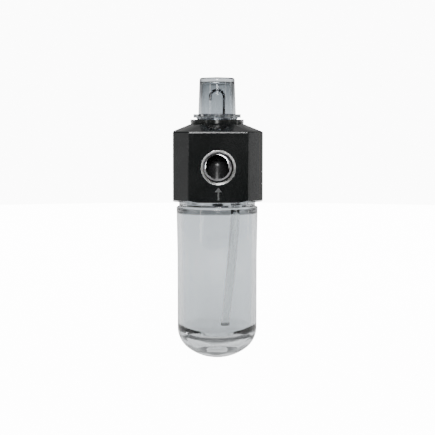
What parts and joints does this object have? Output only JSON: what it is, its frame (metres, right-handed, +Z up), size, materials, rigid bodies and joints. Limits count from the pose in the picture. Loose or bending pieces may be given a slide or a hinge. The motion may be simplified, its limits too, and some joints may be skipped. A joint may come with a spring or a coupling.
{
  "type": "compressed air lubricator",
  "caption": "Miniature air-line lubricator: black square head with opposed pipe ports, serrated clear sight dome with a hooked drip tube, and a round-bottomed clear bowl.",
  "frame": {"origin": "where the line through both pipe ports crosses the axis of the bowl", "axes": "+Z up along the bowl's axis towards the sight dome, -Y out of the inlet port, +Y out of the outlet port"},
  "size_m": [0.04, 0.0406, 0.1274],
  "materials": {
    "black_paint": "gloss",
    "clear_plastic": "clear gloss",
    "smoked_plastic": "clear gloss",
    "clear_tube": "clear satin",
    "black_resin": "gloss",
    "steel": "satin",
    "rubber": "matte"
  },
  "bodies": {
    "head": {"body": "black_paint", "dome_clip": "steel", "flow_core": "black_resin", "core_seal": "rubber", "riser_seal": "rubber", "core_screw_1": "steel", "core_screw_2": "steel", "siphon_fitting": "steel", "siphon_tube": "clear_tube", "charge_valve_spring": "steel", "charge_valve_cap": "steel"},
    "dome": {"sight_dome": "smoked_plastic", "dome_seal": "rubber", "feed_block": "steel", "feed_seal": "rubber", "needle_seal": "rubber", "drip_tube": "steel"},
    "needle": {"feed_needle": "steel"},
    "bowl_ring": {"bowl_seal": "rubber"},
    "bowl_cup": {"bowl": "clear_plastic"},
    "siphon_check": {"siphon_ball": "steel"},
    "charge_check": {"charge_valve_ball": "steel"}
  },
  "joints": [
    {"name": "dome_turn", "type": "hinge", "parent": "head", "child": "dome", "pos_m": [0, 0, 0.0226], "axis": [0, 0, 1], "range_deg": [0, 360]},
    {"name": "needle_lift", "type": "slide", "parent": "dome", "child": "needle", "axis": [0, 0, 1], "range_m": [0, 0.00076]},
    {"name": "bowl_drop", "type": "slide", "parent": "head", "child": "bowl_ring", "axis": [0, 0, 1], "range_m": [-0.00602, 0]},
    {"name": "bowl_turn", "type": "hinge", "parent": "bowl_ring", "child": "bowl_cup", "pos_m": [0, 0, -0.0156], "axis": [0, 0, 1], "range_deg": [-1080, 0]},
    {"name": "siphon_ball_lift", "type": "slide", "parent": "head", "child": "siphon_check", "axis": [0, 0, 1], "range_m": [0, 0.0008]},
    {"name": "charge_ball_travel", "type": "slide", "parent": "head", "child": "charge_check", "axis": [0, 0, 1], "range_m": [-0.0006, 0], "stiffness_N_per_m": 40, "springref_m": 0.001, "deforming": ["charge_valve_spring"]}
  ],
  "couplings": [
    {"joint": "needle_lift", "follows": "dome_turn", "m_per_rad": 0.00011937},
    {"joint": "bowl_drop", "follows": "bowl_turn", "m_per_rad": 0.00031831}
  ]
}
